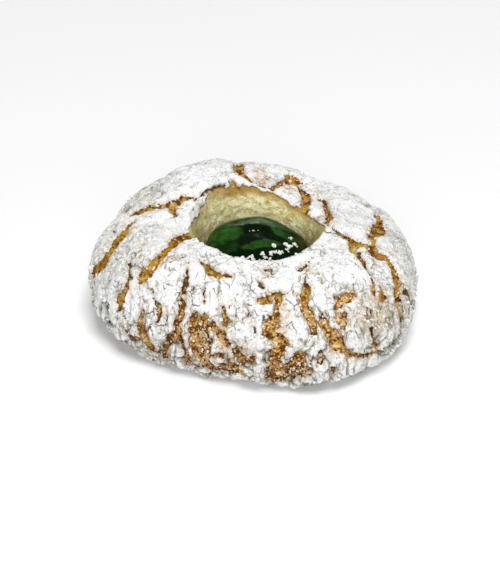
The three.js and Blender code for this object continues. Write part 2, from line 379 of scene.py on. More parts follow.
def distance_to_tears(points):
    """How far outside the nearest tear's edge each point lies, in mm, and that tear's half width."""
    runs = [along(route) for route in TEARS + back_tears()]
    centres = np.concatenate([run[0] for run in runs])
    widths = np.concatenate([run[1] for run in runs])
    tree = tree_of(centres)
    flat = points.reshape(-1, 3)
    distance, width = np.empty(len(flat)), np.empty(len(flat))
    for i, point in enumerate(flat):
        distance[i], width[i] = min((gap - widths[j], widths[j]) for _, j, gap in tree.find_n(point, 5))
    return distance.reshape(points.shape[:-1]), width.reshape(points.shape[:-1])


# Where the sugar ends down inside the hollow, as (azimuth, fall in percent).
SUGAR_LINE = [
    (4, -7), (16, -11), (36, -11.5), (48, -10), (70, -8.5), (85, -9.5), (107, -11.8), (119, -11.5),
    (134, -9.5), (140, -12), (152, -13.5), (164, -14.6), (180, -8), (196, -1.2), (210, -5), (270, -6),
    (330, -6), (341, -7), (352, -3.5),
]

# Patches where the sugar breaks up, as (azimuth, fall in percent, half lengths round and down in mm).
PATCHES = [
    (249, 66, 4.6, 5.4), (309, 30, 2.6, 1.8), (303, 42, 1.5, 2.5), (262, 80, 5, 2.5), (281, 80, 3.5, 2),
    (290, 76, 2.5, 2.5), (324, 42, 2, 3), (70, 10, 4.6, 2.4), (14, -5, 1.6, 1.6), (222, 13, 1.5, 1),
    (210, 86, 5, 2), (130, 60, 6, 4), (40, 70, 6, 4), (95, 75, 5, 3), (2, -2, 1.4, 0.8),
    (322, 36, 1.6, 1.6),
]

# Places on the sides and foot painted greyer, as thin sugar and as painted shade, in the same way.
THIN_AND_SHADED_SPOTS = [
    (192, 35, 12, 12), (205, 90, 10, 4), (150, 22, 12, 4), (330, 55, 9, 9), (358, 45, 9, 12),
    (316, 50, 7, 7), (222, 75, 5, 3), (90, 50, 16, 5), (300, 95, 14, 3), (250, 95, 14, 3),
]

# Places where the paste's colour shows through thin sugar, in the same way.
STAINS = [
    (2, -3, 2.4, 1.6), (150, -4, 2.4, 1.4), (318, 46, 5.5, 6), (274, 27, 1.6, 1.8), (282, 35, 2.2, 6.5),
    (281, 68, 2.4, 4.5), (310, 28, 2.4, 2.2), (304, 44, 2, 3), (297, 46, 1.8, 2.4), (300, 61, 2.4, 2.4),
    (320, 36, 2.6, 2.6), (323, 55, 2.6, 3), (254, 60, 5, 6.5), (265, 69, 5, 5), (286, 72, 3.6, 2.4),
    (87, 2, 4, 2.4), (68, 7, 4, 3), (54, 3, 3.5, 2.6), (24, -5, 3.5, 2.6), (182, 21, 1.6, 1.8),
    (190, 40, 1.6, 2.4), (214, 70, 1.8, 2), (232, 74, 2.2, 1.8), (299, 5, 1.6, 1.2), (275, 6, 1.4, 2),
    (220, 12, 1.6, 1), (100, 50, 5, 4), (45, 55, 6, 4),
]

# Places where the side bulges, in the same way.
BULGES = [(187, 55, 3.5, 3), (229, 12, 5, 2.5), (318, 12, 6, 3)]


def within(spots, here):
    """1 well inside any of those spots, 0 outside."""
    share = np.zeros(here.fall.shape)
    for spot_turn, percent, half_round, half_down in spots:
        turned = (here.azimuth - spot_turn + 180) % 360 - 180
        across = np.radians(turned) * OUTLINE[0] / half_round
        down = (here.fall - percent / 100) * SIDE_LENGTH / half_down
        share = np.maximum(share, 1 - smoothstep(np.hypot(across, down), 0.35, 1.1))
    return share


def survey(spacing):
    """The form at a skin's rows and columns, and how far off its torn and bare places are, in mm."""
    stations, azimuths = spread_stations(spacing), spread_azimuths()
    here = SimpleNamespace()
    here.place = place = skin(stations[:, None], azimuths[None])
    here.fall = fall = np.broadcast_to(fall_of(stations)[:, None], place.shape[:2])
    here.azimuth = np.broadcast_to(azimuths[None], place.shape[:2])
    here.front = -np.sin(np.radians(here.azimuth))  # 1 at the front, -1 at the back
    around = np.roll(place, -1, 1) - np.roll(place, 1, 1)
    outward = np.cross(np.gradient(place, axis=0), around)
    here.area = np.linalg.norm(outward, axis=-1)
    here.outward = outward / here.area[..., None]
    here.crumbly = smoothstep(fall, 0.2, 0.45) * smoothstep(here.front, 0.45, 0.8)  # low on the front

    # The tears, with ragged edges: broad ones a little wider, narrow ones a little narrower.
    tear, width = distance_to_tears(warp(warp(place, 2.4, 0.3, 1), 0.9, 0.2, 5))
    tear -= 0.25 * width * rough(place, 2.0, 2, 8) + 0.08 * smoothstep(width, 0.2, 0.6)
    tear += np.minimum(0.3, 0.45 * width) * rough(place, 0.9, 3, 9)
    tear += 0.06 * (1 - smoothstep(width, 0.15, 0.35))
    tear -= 0.16 * here.crumbly * smoothstep(width, 0.3, 0.6)
    here.hairline = np.exp(-(((tear + width) / 0.14) ** 2)) * (1 - smoothstep(width, 0.18, 0.3))
    here.tear_width = width

    # The bare hollow and the patches.
    line_turns, line_percents = np.array(SUGAR_LINE).T
    line = np.interp(here.azimuth, line_turns, line_percents / 100, period=360)
    hollow = (fall - line) * SIDE_LENGTH + 0.8 * rough(place, 1.6, 3, 10)
    here.in_hollow = smoothstep(-hollow, -0.2, 0.3)
    here.patch = within(PATCHES, here)
    ragged = 0.5 * rough(warp(place, 1.5, 0.4, 13), 1.7, 2, 12) + 0.32 * rough(place, 0.7, 2, 14)
    patch_gap = lerp(2.0, -0.42, here.patch) + ragged
    here.gap = np.minimum(np.minimum(tear, hollow), patch_gap)  # above 0 where there is sugar

    # The lumps that the paste and the sugar share, lower beside a tear and none on the flat zones.
    here.lumps = 0.3 * rough(place * [1, 1, 0.6], 7, 2, 20)
    here.lumps += 0.14 * rough(place * [1, 1, 0.5], 2.4, 2, 21)
    here.lumps -= 0.38 * np.exp(-np.maximum(tear, 0)) * smoothstep(width, 0, 0.4)
    here.lumps += 0.7 * within(BULGES, here)
    here.lumps *= smoothstep(fall, -0.3, 0.05) * smoothstep(-fall, -1.0, -0.9)
    return here


def new_piece(name, points, faces):
    """A smooth mesh in the scene, from points in mm."""
    mesh = bpy.data.meshes.new(name)
    mesh.from_pydata((points * MM + to_frame).tolist(), [], faces)
    mesh.shade_smooth()
    piece = bpy.data.objects.new(name, mesh)
    bpy.context.scene.collection.objects.link(piece)
    return piece


def closed_mesh(name, grid, ends, attributes):
    """A mesh through a grid of points in mm, rows by columns, with a point at each end."""
    rows, columns = grid.shape[:2]
    points = np.concatenate([[ends[0]], grid.reshape(-1, 3), [ends[1]]])
    index = 1 + np.arange(rows * columns).reshape(rows, columns)
    right = np.roll(index, -1, 1)
    quads = np.stack([index[:-1], index[1:], right[1:], right[:-1]], -1).reshape(-1, 4)
    first = np.stack([np.zeros(columns, int), index[0], right[0]], -1)
    last = np.stack([right[-1], index[-1], np.full(columns, len(points) - 1)], -1)
    piece = new_piece(name, points, quads.tolist() + first.tolist() + last.tolist())
    for key, values in attributes.items():
        padded = np.concatenate([values[:1, 0], values.ravel(), values[-1:, 0]])
        attribute = piece.data.attributes.new(key, "FLOAT", "POINT")
        attribute.data.foreach_set("value", padded.astype(np.float32))
    return piece


def raised(here, height):
    """The surveyed places, raised by that many mm and kept above the ground."""
    grid = here.place + here.outward * height[..., None]
    grid[..., 2] = np.maximum(grid[..., 2], 0.02)
    return grid


# -------- the almond paste
PASTE_SPACING = [
    (FLOOR, 3.0), (SEAT, 1.0), (WALL, 0.22), (DOME, 0.26), (UNDERSIDE, 0.28), (UNDERSIDE + 0.1, 4.0),
]
# How thick the crust's torn edges are, and how much it thickens away from them, in mm.
CRUST_EDGE, CRUST_ROOM = 0.25, 0.4


def paste_surface():
    """The paste: sunk and crumbly where it is bare, and deeper under the crust."""
    here = survey(PASTE_SPACING)
    here.inside = np.maximum(-here.gap, 0)
    depth = lerp(0.8, 0.6, smoothstep(here.tear_width, 0.3, 0.9)) * (1 - np.exp(-here.inside / 0.25))
    depth = depth * (1 - here.in_hollow) + CRUST_ROOM * smoothstep(here.gap, 0, 0.5)
    crumble = 0.25 * rough(here.place, 1.3, 3, 40) + 0.06 * rough(here.place, 0.4, 1, 41)
    crumble *= lerp(1.0, 0.5, here.in_hollow) * smoothstep(here.inside, 0, 0.3)
    here.points = raised(here, here.lumps - CRUST_EDGE - depth + crumble)
    return here


dough = paste_surface()
paste = closed_mesh("almond_paste", dough.points, (skin(FLOOR, 0), skin(END, 0)), {
    "inside": dough.inside, "hollow": dough.in_hollow, "fall": dough.fall, "turned": dough.azimuth,
    "crumbly": dough.crumbly,
    "torn": np.maximum(smoothstep(dough.tear_width, 0.2, 0.8), smoothstep(dough.patch, 0, 0.5)),
})

# -------- the crust of icing sugar
SUGAR_SPACING = [
    (FLOOR, 4.0), (WALL + 0.3, 2.0), (WALL + 0.45, 0.3), (DOME, 0.22), (UNDERSIDE, 0.24),
    (UNDERSIDE + 0.1, 4.0),
]


def sugar_surface():
    """The crust: plates and flakes between crevices, sunk into the paste where that is bare."""
    here = survey(SUGAR_SPACING)
    place = here.place
    plates = cells(warp(place, 2.6, 0.8, 30), 2.8, 2.6)
    flakes = cells(warp(place, 1.1, 0.35, 33), 1.15, 1.8, 1)

    # It is roughest on the front's side and lip and at the foot all round.
    here.rugged = smoothstep(here.fall, 0.05, 0.25) * lerp(0.4, 1.0, smoothstep(here.front, 0.1, 0.7))
    lip = smoothstep(here.fall, -0.1, -0.02) * smoothstep(here.front, 0.5, 0.9)
    here.rugged = np.maximum(here.rugged, 0.6 * lip)
    here.rugged = np.maximum(here.rugged, smoothstep(here.fall, 0.5, 0.75))
    low = smoothstep(here.fall, 0.45, 0.75)

    broken = smoothstep(rough(place, 5, 2, 36), -0.7, 0.3) * lerp(0.4, 1.0, here.rugged)
    cracked = rough(place * [1, 1, 0.5], 3.5, 2, 38) + 0.6 * low - 0.4 * (1 - here.rugged)
    crevice = np.exp(-((plates.edge / lerp(0.12, 0.17, low)) ** 2)) * smoothstep(cracked, -0.1, 0.35)
    scratched = smoothstep(rough(place, 1.6, 2, 39) + cracked, 0, 0.7)
    scratch = np.exp(-((flakes.edge / 0.1) ** 2)) * scratched
    relief = broken * (0.38 * plates.height + 0.28 * plates.tilt + 0.2 * smoothstep(plates.edge, 0, 0.7))
    flaky = 0.17 * flakes.height + 0.22 * flakes.tilt + 0.06 * rough(place, 0.6, 2, 37)
    relief += lerp(0.45, 1.0, here.rugged) * flaky
    relief -= 0.32 * crevice + 0.12 * scratch
    relief *= lerp(1, 1.4, low)
    relief *= smoothstep(here.gap, 0, 0.3) * smoothstep(-here.fall, -1.0, -0.93)
    relief -= 0.3 * here.hairline
    thickness = CRUST_EDGE * (1 - np.exp(-np.maximum(here.gap, 0) / 0.08))
    sink = np.minimum(4 * np.maximum(-here.gap, 0), 3.0)
    here.points = raised(here, here.lumps - CRUST_EDGE + thickness + relief - sink)

    # Painted shade in the crevices, scratches and hairlines: grey where shallow, dark brown where deep.
    here.pits = np.clip(np.maximum(lerp(0.6, 0.85, low) * crevice + 0.3 * scratch, here.hairline), 0, 1)
    here.grey = within(THIN_AND_SHADED_SPOTS, here)
    near_gap = lerp(0.5, 0.8, here.crumbly) * (1 - smoothstep(here.gap, 0.1, 0.8))
    here.stain = np.maximum(within(STAINS, here), near_gap)
    return here


icing = sugar_surface()
sugar_ends = skin(FLOOR, 0) - [0, 0, 3], skin(END, 0) + [0, 0, 0.02]
crust = closed_mesh("icing_sugar", icing.points, sugar_ends, {
    "pits": icing.pits, "grey": icing.grey, "rugged": icing.rugged, "stain": icing.stain,
})

# -------- the candied cherry
CHERRY_LUMPS = (1.0, [(2, 0.025, 5), (3, 0.015, 75), (5, 0.006, 10)])
CHERRY_COLUMNS, TOP_ROWS, EDGE_ROWS, UNDER_ROWS = 300, 100, 28, 5
# Spots on the wrinkled top: (x, y, half length, half width, lie in degrees, amount).
CHERRY_DENTS = [
    (-0.1, 1.1, 2.4, 1.7, -8, -0.12), (-5.0, 1.5, 2.2, 2.0, 30, 0.1), (-5.9, 1.6, 0.7, 0.35, 0, -0.15),
    (2.6, -0.6, 1.8, 0.6, -10, -0.04),
]
# Painted glow through the flesh, and painted sheen along the back: lobes even inside and ragged at the
# edge.
CHERRY_PAINTED_GLOWS = [
    (-6.0, 0.8, 3.7, 3.0, 20, 0.45), (0.9, -2.3, 3.9, 1.1, 20, 0.45), (4.8, 1.4, 2.6, 1.0, -20, 0.35),
    # The first here, along the back, is painted sheen.
    (1.0, 4.6, 7.0, 1.7, -6, 0.4), (-5.6, -3.0, 2.6, 1.8, 0, 0.15),
]
# A browned place at the right end.
CHERRY_BROWNS = [(7.9, 0.8, 1.2, 3.0, 0, 0.6)]
# The top is flat, rises towards its back shoulder, and drops on the right. The back is drawn in.
CHERRY_TOP, CHERRY_RISE, CHERRY_DROP, CHERRY_BACK_SHARE = 4.6, 0.12, 2.2, 0.88
SHOULDER_FROM, SHOULDER_TO = 2.0, 3.6


def cherry_skin(station, turned):
    """Points of the half cherry, and their x and y from its centre, in mm.

    Station runs 0..1 over the top, 1..2 round the lower edge and 2..3 under the cut face.
    """
    zone = np.minimum(np.floor(station), 2).astype(int)
    share = station - zone
    sine, cosine = np.sin(share * np.pi / 2), np.cos(share * np.pi / 2)
    radius = np.choose(zone, [
        CHERRY_RADIUS * sine,
        lerp(CHERRY_FOOT_RADIUS, CHERRY_RADIUS, cosine),
        CHERRY_FOOT_RADIUS * (1 - share),
    ])
    radius = radius * wavy(CHERRY_LUMPS, turned) / wavy(CHERRY_LUMPS, np.arange(360.0)).max()
    turn = np.radians(turned)
    x, y = radius * np.cos(turn), radius * np.sin(turn)
    y = y * lerp(1, CHERRY_BACK_SHARE, smoothstep(np.sin(turn)))
    edge = 1 - np.minimum(sine, 1) ** 8
    level = np.clip((y - SHOULDER_FROM) / (SHOULDER_TO - SHOULDER_FROM), 0, 1)
    rise = np.minimum(y, SHOULDER_FROM) + (SHOULDER_TO - SHOULDER_FROM) * (level - level ** 2 / 2)
    top = np.sqrt(edge) * CHERRY_TOP + (CHERRY_RISE * rise - CHERRY_DROP * smoothstep(x, 0, 9)) * edge
    height = np.choose(zone, [top, -CHERRY_BELOW * sine, -CHERRY_BELOW + 0 * share])
    return np.stack([CHERRY_CENTRE[0] + x, CHERRY_CENTRE[1] + y, CHERRY_MIDDLE + height], -1), x, y


def oval(x, y, spot):
    """The square of how far off a spot's middle places lie, where 1 is its edge."""
    spot_x, spot_y, half_length, half_width, lie = spot
    lie = np.radians(lie)
    ahead = (x - spot_x) * np.cos(lie) + (y - spot_y) * np.sin(lie)
    aside = (y - spot_y) * np.cos(lie) - (x - spot_x) * np.sin(lie)
    return (ahead / half_length) ** 2 + (aside / half_width) ** 2


def spotted(x, y, spots):
    """The sum of soft oval spots."""
    return sum(amount * np.exp(-oval(x, y, spot)) for *spot, amount in spots)


def lobed(x, y, spots, ragged):
    """The strongest of some oval lobes, each even inside and ending in a ragged edge."""
    total = np.zeros(x.shape)
    for *spot, amount in spots:
        total = np.maximum(total, amount * smoothstep(1 - oval(x, y, spot) + ragged, -0.3, 0.5))
    return total


cherry_rows = np.concatenate([
    np.linspace(0, 1, TOP_ROWS + 1)[1:],
    np.linspace(1, 2, EDGE_ROWS + 1)[1:],
    np.linspace(2, 3, UNDER_ROWS + 1)[1:-1],
])[:, None]
cherry_turns = np.arange(CHERRY_COLUMNS)[None] * 360 / CHERRY_COLUMNS
cherry_grid, cherry_x, cherry_y = cherry_skin(*np.broadcast_arrays(cherry_rows, cherry_turns))
ragged = 0.45 * rough(warp(cherry_grid, 2, 0.5, 62), 1.6, 2, 63)
wrinkles = 0.035 * rough(warp(cherry_grid, 3, 0.8, 60) * [0.6, 1.2, 1.0], 3.0, 2, 61)
on_top = smoothstep(-cherry_rows, -1.0, -0.8)
cherry_grid[..., 2] += (spotted(cherry_x, cherry_y, CHERRY_DENTS) + wrinkles) * on_top
cherry_ends = cherry_grid[0].mean(0), [*CHERRY_CENTRE, CHERRY_MIDDLE - CHERRY_BELOW]
cherry = closed_mesh("cherry_half", cherry_grid, cherry_ends, {
    "painted_glow": lobed(cherry_x, cherry_y, CHERRY_PAINTED_GLOWS, ragged),
    "browned": spotted(cherry_x, cherry_y, CHERRY_BROWNS),
})

# -------- crumbs and grains
GRAIN_SHAPES, GRAIN_SUBDIVISIONS = 5, 2


def ball(subdivisions):
    """Corners and triangles of a ball, 1 in radius."""
    bpy.ops.mesh.primitive_ico_sphere_add(subdivisions=subdivisions, radius=1)
    made = bpy.context.object
    corners = np.array([vertex.co for vertex in made.data.vertices])
    triangles = np.array([polygon.vertices for polygon in made.data.polygons])
    bpy.data.objects.remove(made)
    return corners, triangles


def scattered(name, spots, sizes, seed, squash=0.75):
    """One mesh of uneven grains, each at a spot in mm and about size across."""
    dice = np.random.default_rng(seed)
    corners, triangles = ball(GRAIN_SUBDIVISIONS)
    bulges = np.stack([rough(corners, 1.1, 1, seed + k) for k in range(GRAIN_SHAPES)])
    shapes = corners[None] * (1 + 0.45 * bulges[:, :, None])
    kinds = dice.integers(0, len(shapes), len(spots))
    spins = np.array([Vector(dice.normal(size=3)).to_track_quat("Z", "Y").to_matrix() for _ in spots])
    grains = np.einsum("nij,nvj->nvi", spins, shapes[kinds] * [1, 0.85, squash])
    grains = grains * (np.asarray(sizes) / 2)[:, None, None] + np.asarray(spots)[:, None]
    grains[..., 2] = np.maximum(grains[..., 2], 0)
    faces = triangles[None] + (np.arange(len(spots)) * len(corners))[:, None, None]
    return new_piece(name, grains.reshape(-1, 3), faces.reshape(-1, 3).tolist())


def pick(here, chance, count, seed):
    """Surface points of a surveyed layer, drawn with those chances."""
    weight = (chance * here.area).ravel()
    at = np.random.default_rng(seed).choice(weight.size, count, replace=False, p=weight / weight.sum())
    return here.points.reshape(-1, 3)[at]


def strewn(name, here, chance, count, mean, least, seed, **shape):
    """Grains over a surveyed layer, of that mean and least size in mm."""
    spots = pick(here, chance, count, seed)
    sizes = least + np.random.default_rng(seed + 1).gamma(3, (mean - least) / 3, count)
    return scattered(name, spots, sizes, seed + 2, **shape)


open_side = (dough.fall < 0.98) & (dough.fall > WALL_FALL)
near_edge = open_side * lerp(0.3, 1, dough.crumbly) * lerp(1, 3, smoothstep(dough.patch))
near_edge = near_edge * np.exp(-(((dough.inside - 0.4) / 0.5) ** 2)) * (dough.inside > 0.05)
near_edge = near_edge * (1 - 0.8 * dough.in_hollow)
deep = open_side * lerp(0.2, 1, dough.crumbly) * (dough.inside > 0.25) * (1 - dough.in_hollow)
crusted = (icing.gap > 0.15) * (icing.fall < 0.97) * smoothstep(icing.fall, -0.1, 0)
sugar_crumbs = strewn("sugar_crumbs", dough, near_edge, 520, mean=0.44, least=0.14, seed=71, squash=0.5)
paste_crumbs = strewn("paste_crumbs", dough, deep, 850, mean=0.42, least=0.16, seed=75)
sugar_lumps = strewn("sugar_lumps", icing, crusted, 2000, mean=0.4, least=0.18, seed=78, squash=0.5)

# Sugar stuck to the cherry's front and a painted highlight: (x, y from the cherry's centre, size) in mm.
CLUMPS_AND_GLINTS = [
    (-2.1, -6.5, 0.6), (-1.0, -5.9, 1.0), (-0.5, -6.6, 0.7), (0.8, -6.6, 0.7), (1.0, -5.0, 0.9),
    (1.5, -5.8, 0.6), (2.2, -6.0, 0.7), (2.5, -4.2, 1.2), (2.9, -2.4, 0.9), (3.7, -3.8, 0.9),
    (4.2, -3.2, 0.7), (5.2, -2.3, 0.7), (5.6, -1.2, 1.2), (6.5, -0.2, 0.9), (6.1, 1.2, 0.6),
    # Tiny white grains in the dimple, standing for a painted highlight.
    (-0.6, 1.2, 0.3), (-1.3, 1.1, 0.15), (0.2, 1.3, 0.15),
]


def on_cherry(spots):
    """Points of the cherry's top over places measured from its centre."""
    top = slice(0, TOP_ROWS)
    tree = tree_of(np.stack([cherry_x, cherry_y, 0 * cherry_x], -1)[top].reshape(-1, 3))
    tops = cherry_grid[top].reshape(-1, 3)
    return np.array([tops[tree.find((x, y, 0))[1]] for x, y in spots])


GRAINS_IN_CLUMP = 9
dice = np.random.default_rng(84)
clump_spots, clump_sizes = [], []
for x, y, size in CLUMPS_AND_GLINTS:
    for _ in range(GRAINS_IN_CLUMP):
        clump_spots.append((x + dice.normal(0, 0.3 * size), y + dice.normal(0, 0.3 * size)))
        clump_sizes.append(size * dice.uniform(0.25, 0.65))
clumps_and_glints = scattered("sugar_clumps_and_glints", on_cherry(clump_spots) + [0, 0, 0.05], clump_sizes, 81)


# -------- materials
def linear(red, green, blue):
    """A colour given from 0 to 255, as a shader takes it."""
    return [*((np.array([red, green, blue]) / 255) ** 2.2), 1.0]


SUGAR_WHITE, SUGAR_SHADE = linear(249, 250, 250), linear(236, 237, 235)
SUGAR_THIN_AND_SHADED, SUGAR_STAIN, SUGAR_BURNT = linear(202, 198, 186), linear(212, 196, 172), linear(158, 122, 72)
# Painted shade for the grain's hollows.
GRAIN_HOLLOW_SHADE, GRAIN_DEEP_SHADE = linear(188, 190, 185), linear(140, 138, 126)
# Painted shade for the fine cracks.
FINE_VEIN_SHADE, VEIN_SHADE, SLIT_SHADE = linear(158, 160, 155), linear(132, 130, 118), linear(76, 62, 44)
# Painted shade for the crevices.
PIT_SHADE, DEEP_PIT_SHADE = linear(160, 156, 142), linear(84, 60, 34)
PASTE_OLIVE, PASTE_GOLD, PASTE_CREAM = linear(186, 152, 62), linear(178, 128, 42), linear(222, 178, 106)
PASTE_PALE, PASTE_DARK, PASTE_BLOTCH = linear(248, 218, 164), linear(112, 60, 2), linear(86, 44, 2)
# The last two here are painted shade in the tears.
PASTE_LOW, PASTE_EDGE_SHADE, PASTE_NARROW_SHADE = linear(96, 46, 2), linear(80, 40, 2), linear(60, 40, 18)
PASTE_DUST = linear(240, 220, 188)
MOIST_PALE, MOIST_DARK, MOIST_LINE = linear(254, 250, 204), linear(212, 198, 128), linear(150, 136, 70)
MOIST_SPECK, MOIST_GOLDEN, MOIST_ENDS_SHADE = linear(150, 134, 80), linear(170, 134, 60), linear(164, 148, 78)
FRUIT_DEEP, FRUIT_GLOW, FRUIT_BROWN = linear(3, 24, 3), linear(48, 88, 34), linear(58, 60, 18)
FLOOR_WHITE = linear(240, 240, 240)


class Shader:
    """A material's node tree, with short ways to add the nodes that these materials share."""

    def __init__(self, name):
        self.material = bpy.data.materials.new(name)
        self.material.use_nodes = True
        self.tree = self.material.node_tree
        self.surface = self.tree.nodes["Principled BSDF"]

    def add(self, kind, inputs=None, **settings):
        node = self.tree.nodes.new(kind)
        for key, value in settings.items():
            setattr(node, key, value)
        for key, value in (inputs or {}).items():
            self.set(node, key, value)
        return node

    def set(self, node, key, value):
        if isinstance(value, bpy.types.NodeSocket):
            self.tree.links.new(value, node.inputs[key])
        else:
            node.inputs[key].default_value = value

    def field(self, name):
        return self.add("ShaderNodeAttribute", attribute_name=name).outputs["Fac"]

    def vector(self, operation, first, second):
        return self.add("ShaderNodeVectorMath", {0: first, 1: second}, operation=operation).outputs[0]

    def place(self, stretch=(1, 1, 1)):
        """Where a point lies, in mm."""
        place = self.add("ShaderNodeTexCoord").outputs["Object"]
        return self.vector("MULTIPLY", place, [share / MM for share in stretch])

    def noise(self, place, size, detail=3.0, roughness=0.6):
        """Noise from 0 to 1 with features about size mm apart."""
        inputs = {"Vector": place, "Scale": 1 / size, "Detail": detail, "Roughness": roughness}
        return self.add("ShaderNodeTexNoise", inputs).outputs["Fac"]

    def patches(self, place, size, low, high, start=0.0, end=1.0, detail=3.0, roughness=0.6):
        """Patches about size mm across: start where the noise is under low, end where it is over high."""
        return self.ramp(self.noise(place, size, detail, roughness), low, high, start, end)

    def warped(self, place, size, amount):
        """Places shifted to and fro by up to about that many mm."""
        swirl = self.add("ShaderNodeTexNoise", {"Vector": place, "Scale": 1 / size, "Detail": 2.0})
        centred = self.vector("SUBTRACT", swirl.outputs["Color"], (0.5, 0.5, 0.5))
        shift = self.vector("MULTIPLY", centred, [2 * amount] * 3)
        return self.vector("ADD", place, shift)

    def ramp(self, value, low, high, start=0.0, end=1.0):
        """A value carried smoothly from start at low to end at high."""
        inputs = {"Value": value, "From Min": low, "From Max": high, "To Min": start, "To Max": end}
        return self.add("ShaderNodeMapRange", inputs, interpolation_type="SMOOTHSTEP").outputs["Result"]

    def math(self, operation, first, second=0.0):
        return self.add("ShaderNodeMath", {0: first, 1: second}, operation=operation).outputs["Value"]

    def product(self, first, *others):
        for other in others:
            first = self.math("MULTIPLY", first, other)
        return first

    def crackle(self, place, size, width):
        """Lines between cells about size mm across: 1 on a line, 0 from width mm away."""
        inputs = {"Vector": place, "Scale": 1 / size, "Randomness": 1.0}
        edge = self.add("ShaderNodeTexVoronoi", inputs, feature="DISTANCE_TO_EDGE").outputs["Distance"]
        return self.ramp(edge, 0, width / size, 1, 0)

    def away_from(self, value, middle):
        return self.math("ABSOLUTE", self.math("SUBTRACT", value, middle))

    def mix(self, share, first, second):
        """One colour mixed into another, by the colour sockets of a mix node, which go by number."""
        inputs = {0: share, 6: first, 7: second}
        return self.add("ShaderNodeMix", inputs, data_type="RGBA").outputs[2]

    def layers(self, colour, *layers):
        """A colour with others laid over it in turn, each given with its share."""
        for share, over in layers:
            colour = self.mix(share, colour, over)
        return colour

    def bump(self, height, depth, under=None):
        """Bumps of that many mm, on others if they are given."""
        inputs = {"Height": height, "Strength": 1.0, "Distance": depth * MM}
        if under is not None:
            inputs["Normal"] = under
        return self.add("ShaderNodeBump", inputs).outputs["Normal"]

    def finish(self, piece, **inputs):
        for key, value in inputs.items():
            self.set(self.surface, key.replace("_", " "), value)
        piece.data.materials.append(self.material)


def sugar_material(piece):
    sugar = Shader("icing sugar")
    place = sugar.place()
    drawn_down = sugar.warped(sugar.place((1, 1, 0.45)), 1.8, 0.5)
    grey, stain, pits = sugar.field("grey"), sugar.field("stain"), sugar.field("pits")
    rugged = sugar.ramp(sugar.field("rugged"), 0, 1, 0.5, 1)
    grain = sugar.noise(place, 0.45, 4, 0.65)
    worn_and_shaded = sugar.math("MAXIMUM", sugar.patches(place, 4.0, 0.42, 0.58, 0.2, 1), grey)
    whiteness = sugar.patches(place, 3.0, 0.4, 0.7, 0, 0.8, detail=2)
    speckle = sugar.patches(place, 0.9, 0.44, 0.6, 0.1, 1, detail=4, roughness=0.7)
    blotch = sugar.patches(place, 1.4, 0.39, 0.53, detail=4, roughness=0.75)
    burnt = sugar.patches(place, 0.8, 0.5, 0.6, detail=4, roughness=0.7)

    # Cracks that are finer than the mesh, each kind only in some places, darkened as painted shade.
    fine_veins = sugar.product(sugar.crackle(drawn_down, 0.8, 0.09), sugar.patches(place, 1.6, 0.46, 0.56))
    fine_veins = sugar.product(fine_veins, worn_and_shaded)
    veins = sugar.product(sugar.crackle(drawn_down, 1.5, 0.1), sugar.patches(place, 2.2, 0.46, 0.58))
    veins = sugar.product(veins, worn_and_shaded)
    slits = sugar.product(sugar.crackle(drawn_down, 2.4, 0.11), sugar.patches(place, 1.8, 0.52, 0.57))

    colour = sugar.layers(
        sugar.mix(whiteness, SUGAR_WHITE, SUGAR_SHADE),
        # Thin sugar and painted shade on the sides and at the foot.
        (sugar.product(grey, speckle, 0.9), SUGAR_THIN_AND_SHADED),
        # Painted shade where the grain noise is low, the same noise that makes the grainy bump.
        (sugar.product(sugar.ramp(grain, 0.49, 0.38, 0, 0.6), worn_and_shaded), GRAIN_HOLLOW_SHADE),
        (sugar.ramp(grain, 0.38, 0.32, 0, 0.8), GRAIN_DEEP_SHADE),
        (sugar.product(stain, blotch, 0.9), SUGAR_STAIN),
        (sugar.product(stain, blotch, burnt, 0.8), SUGAR_BURNT),
        (sugar.product(fine_veins, rugged, 0.7), FINE_VEIN_SHADE),
        (sugar.product(veins, rugged, 0.8), VEIN_SHADE),
        (sugar.product(slits, rugged, 0.95), SLIT_SHADE),
        (sugar.ramp(pits, 0.05, 0.5, 0, 0.8), PIT_SHADE),
        (sugar.ramp(pits, 0.5, 0.9, 0, 0.9), DEEP_PIT_SHADE),
    )
    flaky = sugar.bump(sugar.product(sugar.noise(drawn_down, 0.9, 3, 0.6), rugged), 0.32)
    grainy = sugar.bump(sugar.product(grain, worn_and_shaded), 0.14, flaky)
    cracks = sugar.math("MAXIMUM", sugar.math("MAXIMUM", veins, fine_veins), slits)
    cracked = sugar.bump(cracks, -0.07, grainy)
    sugar.finish(piece, Base_Color=colour, Roughness=0.92, Normal=cracked, Specular_IOR_Level=0.2)


